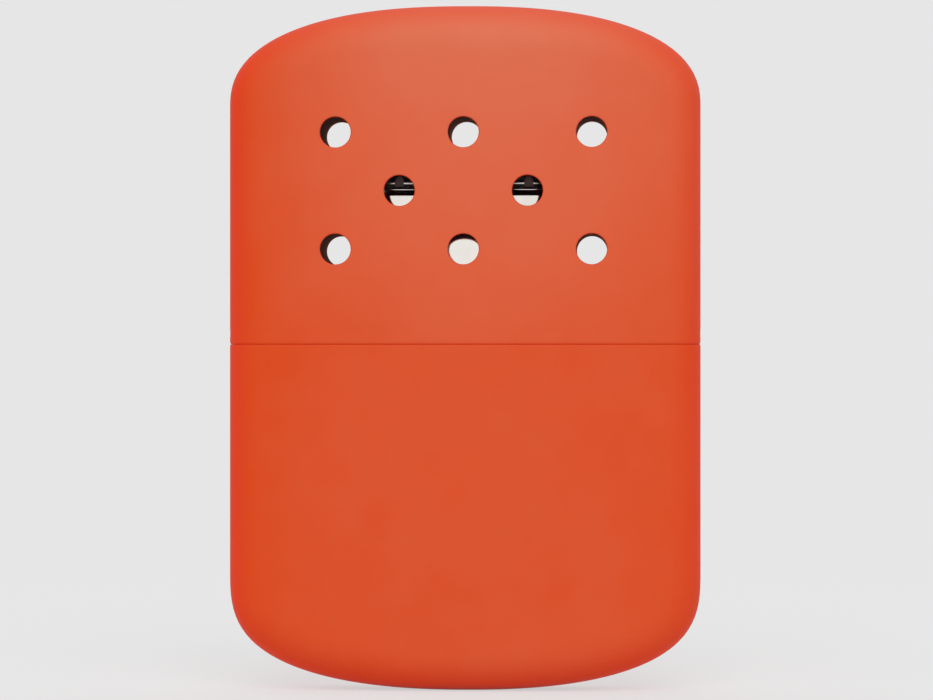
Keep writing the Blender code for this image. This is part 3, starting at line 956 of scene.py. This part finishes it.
def store_painted_shade_mark(piece):
    """Store which faces get the painted shade: the posts and the cap, but not the low ring's run.
    """
    mesh = piece.data
    middles = np.zeros(len(mesh.polygons) * 3, dtype=np.float32)
    mesh.polygons.foreach_get("center", middles)
    x, y, z = middles.reshape(-1, 3).T
    core_x = skirt_high.x - skirt_high.y
    posts = (np.abs(x) > CAGE_POST_INNER) & (np.abs(x) < core_x)
    posts |= (np.abs(x) > core_x) & (np.abs(y) < CAGE_END_POST_HALF)
    marked = posts | (z > cage_high.z - CAGE_RIM_WIDTH)
    attribute = mesh.attributes.new("painted_shade_mark", "FLOAT", "FACE")
    attribute.data.foreach_set("value", marked.astype(np.float32))


def make_cage(finish):
    """Burner cage: one slotted sheet with a thin ring low down and two slots in its cap."""
    side = cage_high.y
    top = cage_high.z
    low = cage_low.z
    edge = side - CAGE_EDGE_RADIUS
    ring = low + CAGE_RING_RISE
    rim = top - CAGE_RIM_WIDTH
    heights = np.concatenate(
        [[low, ring, ring + CAGE_RING_WIDTH], np.linspace(ring + CAGE_RING_WIDTH, rim, 5)[1:]]
    )
    rings = sweep(
        burner_outline(),
        *profile(
            (np.full(len(heights), side), heights),
            arc(edge, top - CAGE_EDGE_RADIUS, CAGE_EDGE_RADIUS, 0, 90, 8),
            ([edge - CAGE_CAP_ROWS[0], CAGE_SLOT_HALF, CAGE_CAP_ROWS[1], 0.0], [top] * 4),
        ),
    )
    piece = mesh_piece("cage", [grid(rings, wrap_columns=True, keep=cage_keeps)], [finish])
    store_painted_shade_mark(piece)
    wall = piece.modifiers.new("wall", "SOLIDIFY")
    wall.thickness = CAGE_WALL
    wall.offset = -1
    wall.use_even_offset = True
    edges = piece.modifiers.new("edges", "BEVEL")
    edges.width = CAGE_EDGE_BREAK
    edges.segments = 2
    edges.limit_method = "ANGLE"
    edges.angle_limit = math.radians(50)
    dress(piece, "burner", "burner_cage")


def make_mat(finish):
    """Catalyst mat: a pad with soft edges and an uneven felted surface."""
    side = mat_high.y
    soft = MAT_EDGE_RADIUS
    heights = np.linspace(mat_low.z + soft, mat_high.z - soft, 26)[1:-1]
    across = np.linspace(0, side - soft, 12)[:-1]
    rings = sweep(
        burner_outline(np.linspace(-math.pi / 2, 0, 14)),
        *profile(
            (across, np.full(len(across), mat_low.z)),
            arc(side - soft, mat_low.z + soft, soft, -90, 0, 5),
            (np.full(len(heights), side), heights),
            arc(side - soft, mat_high.z - soft, soft, 0, 90, 5),
            (across[::-1], np.full(len(across), mat_high.z)),
        ),
    )
    piece = mesh_piece("mat", [grid(rings, wrap_columns=True)], [finish])
    ruffle(piece, (mat_low + mat_high) / 2, *MAT_RUFFLE)
    dress(piece, "burner", "catalyst_mat")


def ruffle(piece, centre, depth, frequency):
    """Draw the surface in along its normals by depth * (1 + w / 1.6) / 2, at most depth.

    w is a sum of two products of sine waves in x, y and z, with frequency in radians to a metre.
    """
    mesh = piece.data
    points = np.zeros(len(mesh.vertices) * 3, dtype=np.float32)
    mesh.vertices.foreach_get("co", points)
    points = points.reshape(-1, 3).astype(float)
    normals = np.zeros(len(mesh.vertices) * 3, dtype=np.float32)
    mesh.vertices.foreach_get("normal", normals)
    normals = normals.reshape(-1, 3)
    x, y, z = ((points - np.array(centre)) * frequency).T
    waves = np.sin(2.1 * x + 1.3 * z) * np.sin(1.7 * y - 0.8 * x + 0.9) * np.sin(1.9 * z + 1.1 * y)
    waves += 0.6 * np.sin(4.3 * x + 3.1 * y) * np.sin(3.7 * z - 2.9 * x + 0.4)
    share = (waves / 1.6 + 1) / 2
    points -= normals * (depth * share)[:, None]
    mesh.vertices.foreach_set("co", points.astype(np.float32).ravel())
    mesh.update()


def soft_copy(name, node, body, voxel, wave, finish):
    """Soft piece in a CAD node's space: its mesh remeshed finely and drawn in unevenly."""
    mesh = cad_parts[node].data.copy()
    mesh.name = name
    work = bmesh.new()
    work.from_mesh(mesh)
    bmesh.ops.remove_doubles(work, verts=work.verts, dist=MERGE_DISTANCE)
    work.to_mesh(mesh)
    work.free()
    source = bpy.data.objects.new(name, mesh)
    bpy.context.scene.collection.objects.link(source)
    remesh = source.modifiers.new("voxels", "REMESH")
    remesh.mode = "VOXEL"
    remesh.voxel_size = voxel
    depsgraph = bpy.context.evaluated_depsgraph_get()
    fine = bpy.data.meshes.new_from_object(source.evaluated_get(depsgraph))
    bpy.data.objects.remove(source)
    bpy.data.meshes.remove(mesh)
    fine.name = name
    fine.materials.clear()
    fine.materials.append(finish)
    fine.shade_smooth()
    piece = bpy.data.objects.new(name, fine)
    bpy.context.scene.collection.objects.link(piece)
    low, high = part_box(node)
    ruffle(piece, (low + high) / 2, *wave)
    dress(piece, body, node)


def seen_rays(tree):
    """1 for the rays that show the backdrop: camera, glossy and transmission rays."""
    path = add(tree, "ShaderNodeLightPath").outputs
    seen = path["Is Camera Ray"]
    for kind in ("Is Glossy Ray", "Is Transmission Ray"):
        seen = add(tree, "ShaderNodeMath", {0: seen, 1: path[kind]}, operation="MAXIMUM").outputs[0]
    return seen


def stage_material(name, shade, keep_shadow):
    """Backdrop grey for the camera and in reflections; near the object it keeps the shadow."""
    made, tree, surface = new_material(name)
    seen = seen_rays(tree)
    matte = add(tree, "ShaderNodeBsdfDiffuse", {"Color": linear("#F0F0F0")})
    place = add(tree, "ShaderNodeTexCoord").outputs["Object"]
    distance = add(tree, "ShaderNodeVectorMath", {0: place}, operation="LENGTH").outputs["Value"]
    reach = {"Value": distance, "From Min": SHADOW_REACH[0], "From Max": SHADOW_REACH[1]}
    near = add(tree, "ShaderNodeMapRange", {**reach, "To Min": 1.0 - keep_shadow, "To Max": 1.0})
    glow = add(tree, "ShaderNodeEmission", {"Color": linear(shade), "Strength": 1.0})
    mixed = add(
        tree,
        "ShaderNodeMixShader",
        {0: near.outputs["Result"], 1: matte.outputs[0], 2: glow.outputs[0]},
    )
    final = add(tree, "ShaderNodeMixShader", {0: seen, 1: matte.outputs[0], 2: mixed.outputs[0]})
    tree.links.new(final.outputs[0], surface)
    return made


def make_stage():
    """Pale floor, and a world of the same grey for the camera and reflections."""
    span = np.array([-FLOOR_HALF, FLOOR_HALF])
    points = np.insert(plain_block(span, span), 2, 0.0, axis=-1)
    finish = stage_material("floor_grey", "#E6E6E6", SHADOW_SHARE)
    mesh_piece("floor", [grid(points)], [finish])
    world = bpy.data.worlds.new("studio")
    bpy.context.scene.world = world
    world.use_nodes = True
    tree = world.node_tree
    tree.nodes.clear()
    backdrop = add(tree, "ShaderNodeBackground", {"Color": linear("#E6E6E6"), "Strength": 1.0})
    ambient = add(tree, "ShaderNodeBackground", {"Color": linear("#FFFFFF"), "Strength": 0.45})
    mixed = add(
        tree,
        "ShaderNodeMixShader",
        {0: seen_rays(tree), 1: ambient.outputs[0], 2: backdrop.outputs[0]},
    )
    output = add(tree, "ShaderNodeOutputWorld")
    tree.links.new(mixed.outputs[0], output.inputs["Surface"])


def add_sun(name, azimuth, elevation, strength, spread, mirrored=True):
    """Soft studio lamp, far off: azimuth 0 is in front, 90 at the object's right hand (+X).

    strength is in W/m2, and spread is the width of the lamp as seen from the object, in degrees.
    Metal shows no image of a lamp that isn't mirrored: the stronger ones would burn out in nickel.
    """
    lamp = bpy.data.lights.new(name, "SUN")
    lamp.energy = strength
    lamp.angle = math.radians(spread)
    made = bpy.data.objects.new(name, lamp)
    bpy.context.scene.collection.objects.link(made)
    a, e = math.radians(azimuth), math.radians(elevation)
    towards = Vector((math.sin(a) * math.cos(e), -math.cos(a) * math.cos(e), math.sin(e)))
    made.rotation_euler = towards.to_track_quat("Z", "Y").to_euler()
    made.location = towards
    made.visible_glossy = mirrored


def make_camera():
    """Camera at the photograph's angle, with the photograph's scale at the object's middle."""
    data = bpy.data.cameras.new("camera")
    data.sensor_width = SENSOR_WIDTH
    data.lens = SENSOR_WIDTH * CAMERA_DISTANCE * PHOTO_SCALE / PHOTO_WIDTH
    data.clip_start = 0.01
    data.clip_end = 50.0
    made = bpy.data.objects.new("camera", data)
    bpy.context.scene.collection.objects.link(made)
    a, e = math.radians(CAMERA_AZIMUTH), math.radians(CAMERA_ELEVATION)
    back = Vector((math.sin(a) * math.cos(e), -math.cos(a) * math.cos(e), math.sin(e)))
    made.location = Vector(CAMERA_AIM) + back * CAMERA_DISTANCE
    made.rotation_euler = (-back).to_track_quat("-Z", "Y").to_euler()
    bpy.context.scene.camera = made


def dress_screen(finish):
    """The CAD support screen keeps its shape and gets the cage's steel."""
    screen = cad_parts["support_screen"]
    screen.data.materials.clear()
    screen.data.materials.append(finish)


make_camera()
paint, tinplate = powder_coat(), bounce_tinted_tinplate()
nickel, steel = bright_nickel(), heat_tinted_steel()
make_lid([paint, tinplate])
make_tank([paint, tinplate])
make_cup(nickel)
make_neck(nickel)
make_skirt(nickel)
make_cage(steel)
dress_screen(steel)
make_mat(catalyst_fibre())
cotton_wool = cotton("cotton_wool", "#D8D4CA", "#F4F2EC", 700.0, 0.0004)
wool_felt = cotton("wool_felt", "#B8B2A4", "#DEDACF", 1500.0, 0.0002)
for number in range(1, 6):
    node = f"cotton_wad_{number}"
    name = f"cotton_{number}"
    soft_copy(name, node, "tank", COTTON_VOXEL, COTTON_RUFFLE, cotton_wool)
soft_copy("felt", "neck_felt", "tank", FELT_VOXEL, FELT_RUFFLE, wool_felt)
make_stage()
add_sun("key", 5, 38, 1.35, 50, mirrored=False)
add_sun("front", -5, 8, 0.59, 120)
add_sun("back", 187, 15, 1.15, 140, mirrored=False)
bpy.context.scene.view_settings.view_transform = "Standard"
